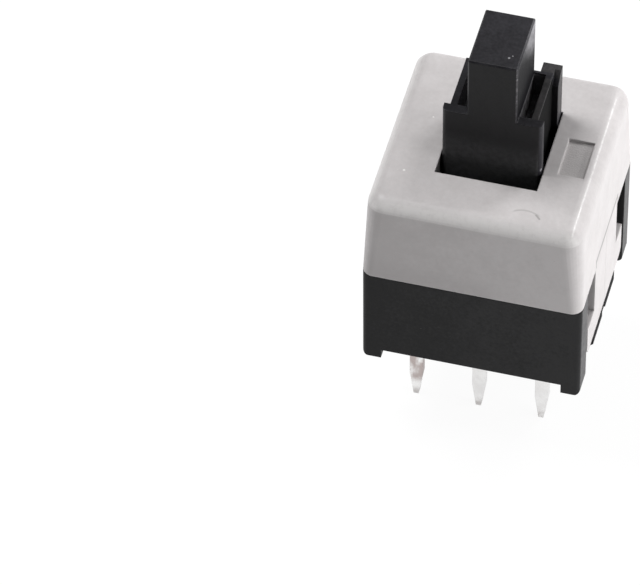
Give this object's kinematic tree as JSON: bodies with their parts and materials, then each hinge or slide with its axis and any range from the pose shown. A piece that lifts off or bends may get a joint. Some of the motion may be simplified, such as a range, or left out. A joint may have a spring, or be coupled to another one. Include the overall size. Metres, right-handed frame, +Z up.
{
  "type": "pushbutton switch",
  "caption": "Square latching pushbutton switch with a slim stem and flat pins for a circuit board; it clicks in and springs back.",
  "frame": {"origin": "centre of the pin grid on the circuit board, at the lower faces of the corner feet", "axes": "+Z up along the plunger; +X along the rows of pins; -Y is the front wall"},
  "size_m": [0.0086, 0.0086, 0.0176],
  "materials": {
    "cover": "fine moulded satin, light warm grey",
    "base": "satin black moulding",
    "plunger": "satin black moulding",
    "terminal": "silver plated",
    "contact": "bright spring bronze, silver faced",
    "steel": "bright drawn steel"
  },
  "bodies": {
    "housing": {"cover": "cover", "base": "base", "terminal_front_left": "terminal", "terminal_front_centre": "terminal", "terminal_front_right": "terminal", "terminal_back_left": "terminal", "terminal_back_centre": "terminal", "terminal_back_right": "terminal", "latch_leaf": "steel", "return_spring": "steel"},
    "plunger": {"plunger": "plunger", "contact_front": "contact", "contact_back": "contact"},
    "latch": {"latch_pin": "steel"}
  },
  "joints": [
    {"name": "plunger_slide", "type": "slide", "parent": "housing", "child": "plunger", "axis": [0, 0, -1], "range_m": [0, 0.0023], "stiffness_N_per_m": 300, "deforming": ["return_spring"]},
    {"name": "latch_swing", "type": "hinge", "parent": "housing", "child": "latch", "pos_m": [0.00258, 0, 0.0022], "axis": [1, 0, 0], "range_deg": [0, 23.4]}
  ],
  "couplings": [
    {"joint": "latch_swing", "follows": "plunger_slide", "rad_per_m": 176.94}
  ]
}
